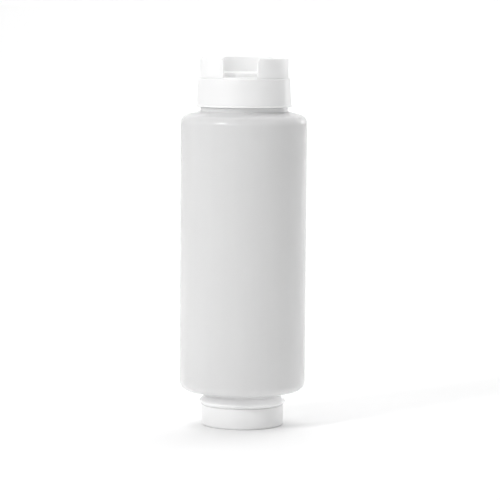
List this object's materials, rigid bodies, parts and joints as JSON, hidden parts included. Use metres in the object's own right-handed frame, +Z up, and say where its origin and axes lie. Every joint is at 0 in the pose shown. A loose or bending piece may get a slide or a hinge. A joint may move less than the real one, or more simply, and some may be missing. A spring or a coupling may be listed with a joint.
{
  "type": "inverted squeeze bottle",
  "caption": "Inverted translucent squeeze bottle for condiments, with a wide refill cap with a lugged crown on top and a slit-valve dispensing cap under a flat cover.",
  "frame": {"origin": "middle of the cover's standing face, on the bottle's axis", "axes": "+Z up along the bottle's axis, from the dispensing end to the refill end; -Y is the front, where one gap of the refill cap's crown opens"},
  "size_m": [0.0825, 0.0824, 0.241],
  "materials": {
    "natural_ldpe": "natural translucent blow-moulded LDPE, satin",
    "white_polypropylene": "opaque white moulded polypropylene, satin",
    "foam_liner": "white closed-cell polyethylene foam",
    "silicone": "clear-white moulded silicone"
  },
  "bodies": {
    "bottle": {"bottle_body": "natural_ldpe"},
    "refill_liner": {"refill_cap_liner": "foam_liner"},
    "refill_cap": {"refill_cap": "white_polypropylene"},
    "gasket": {"dispensing_gasket": "foam_liner"},
    "dispensing_cap": {"dispensing_cap": "white_polypropylene", "valve": "silicone", "valve_retainer": "white_polypropylene"},
    "valve_leaf_front": {"valve_leaf_front": "silicone"},
    "valve_leaf_right": {"valve_leaf_right": "silicone"},
    "valve_leaf_back": {"valve_leaf_back": "silicone"},
    "valve_leaf_left": {"valve_leaf_left": "silicone"},
    "cover": {"dispensing_cover": "white_polypropylene"}
  },
  "joints": [
    {"name": "refill_cap_lift", "type": "slide", "parent": "bottle", "child": "refill_liner", "axis": [0, 0, 1], "range_m": [0, 0.022]},
    {"name": "refill_cap_turn", "type": "hinge", "parent": "refill_liner", "child": "refill_cap", "pos_m": [0, 0, 0.22], "axis": [0, 0, 1], "range_deg": [0, 1871]},
    {"name": "dispensing_cap_drop", "type": "slide", "parent": "bottle", "child": "gasket", "axis": [0, 0, -1], "range_m": [0, 0.013]},
    {"name": "dispensing_cap_turn", "type": "hinge", "parent": "gasket", "child": "dispensing_cap", "pos_m": [0, 0, 0.008], "axis": [0, 0, -1], "range_deg": [0, 1106]},
    {"name": "dispensing_cover_pull", "type": "slide", "parent": "dispensing_cap", "child": "cover", "axis": [0, 0, -1], "range_m": [0, 0.016]},
    {"name": "leaf_front_open", "type": "hinge", "parent": "dispensing_cap", "child": "valve_leaf_front", "pos_m": [0, -0.00375, 0.0066], "axis": [-1, 0, 0], "range_deg": [0, 40], "stiffness_Nm_per_rad": 0.0006},
    {"name": "leaf_right_open", "type": "hinge", "parent": "dispensing_cap", "child": "valve_leaf_right", "pos_m": [0.00375, 0, 0.0066], "axis": [0, -1, 0], "range_deg": [0, 40], "stiffness_Nm_per_rad": 0.0006},
    {"name": "leaf_back_open", "type": "hinge", "parent": "dispensing_cap", "child": "valve_leaf_back", "pos_m": [0, 0.00375, 0.0066], "axis": [1, 0, 0], "range_deg": [0, 40], "stiffness_Nm_per_rad": 0.0006},
    {"name": "leaf_left_open", "type": "hinge", "parent": "dispensing_cap", "child": "valve_leaf_left", "pos_m": [-0.00375, 0, 0.0066], "axis": [0, 1, 0], "range_deg": [0, 40], "stiffness_Nm_per_rad": 0.0006}
  ],
  "couplings": [
    {"joint": "refill_cap_turn", "follows": "refill_cap_lift", "rad_per_m": 1484.2},
    {"joint": "dispensing_cap_turn", "follows": "dispensing_cap_drop", "rad_per_m": 1484.2},
    {"joint": "leaf_right_open", "follows": "leaf_front_open", "ratio": 1},
    {"joint": "leaf_back_open", "follows": "leaf_front_open", "ratio": 1},
    {"joint": "leaf_left_open", "follows": "leaf_front_open", "ratio": 1}
  ]
}
